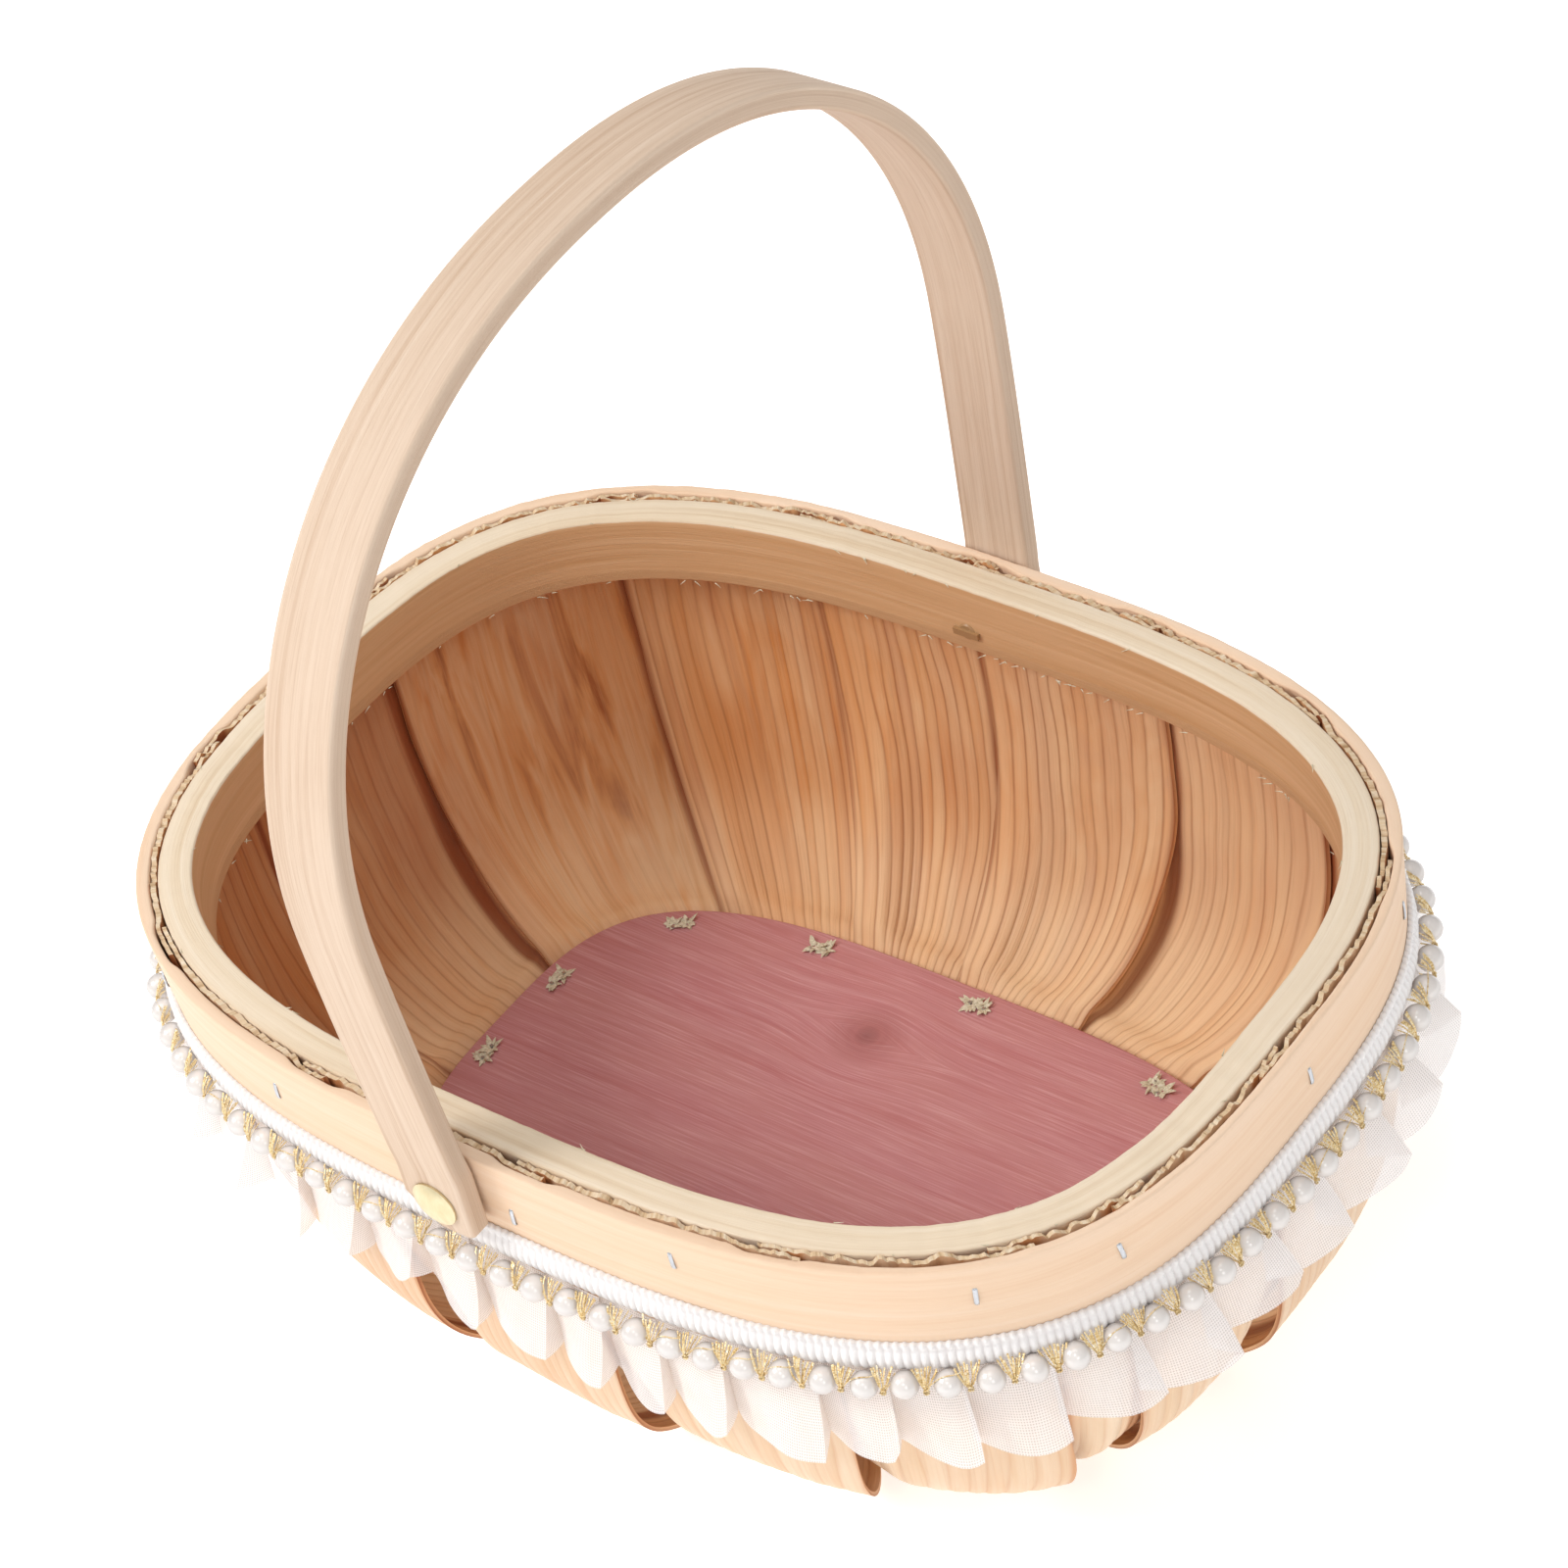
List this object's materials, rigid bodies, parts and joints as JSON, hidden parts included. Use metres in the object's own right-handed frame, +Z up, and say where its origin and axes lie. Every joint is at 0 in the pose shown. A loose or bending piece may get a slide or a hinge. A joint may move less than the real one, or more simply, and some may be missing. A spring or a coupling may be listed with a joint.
{
  "type": "flower girl basket",
  "caption": "Chip-wood flower basket with a bent-wood swing handle on brass rivets and a pearl, gold-thread and organza trim.",
  "frame": {"origin": "on the table under the middle of the basket", "axes": "+X along the basket's length, +Y across it towards the far long side, +Z up through the mouth"},
  "size_m": [0.2564, 0.1944, 0.2432],
  "materials": {
    "dyed_board": "dusty mauve-pink dye on thin board, satin",
    "rim_wood": "pale bare wood, light grain",
    "splint_veneer": "rough peeled veneer with strong ribbed grain",
    "handle_wood": "pinkish-beige bare wood, sanded",
    "staple_wire": "flat silver staple wire",
    "rivet_brass": "satin brass",
    "braid_cotton": "white ribbed gimp braid",
    "pearl": "pearlised white plastic",
    "gold_thread": "metallic gold thread",
    "organza": "sheer white organza"
  },
  "bodies": {
    "basket": {"base_plate": "dyed_board", "inner_rim_band": "rim_wood", "outer_rim_band": "rim_wood", "splint_01": "splint_veneer", "splint_02": "splint_veneer", "splint_03": "splint_veneer", "splint_04": "splint_veneer", "splint_05": "splint_veneer", "splint_06": "splint_veneer", "splint_07": "splint_veneer", "splint_08": "splint_veneer", "splint_09": "splint_veneer", "splint_10": "splint_veneer", "splint_11": "splint_veneer", "splint_12": "splint_veneer", "splint_13": "splint_veneer", "splint_14": "splint_veneer", "splint_15": "splint_veneer", "rim_staples": "staple_wire", "base_staples": "staple_wire", "rivet_near": "rivet_brass", "rivet_far": "rivet_brass", "trim_braid": "braid_cotton", "trim_pearls": "pearl", "trim_gold_thread": "gold_thread", "trim_organza": "organza"},
    "handle": {"handle": "handle_wood"}
  },
  "joints": [
    {"name": "handle_swing", "type": "hinge", "parent": "basket", "child": "handle", "pos_m": [-0.005, 0, 0.0811], "axis": [0, 1, 0], "range_deg": [-90, 90]}
  ]
}
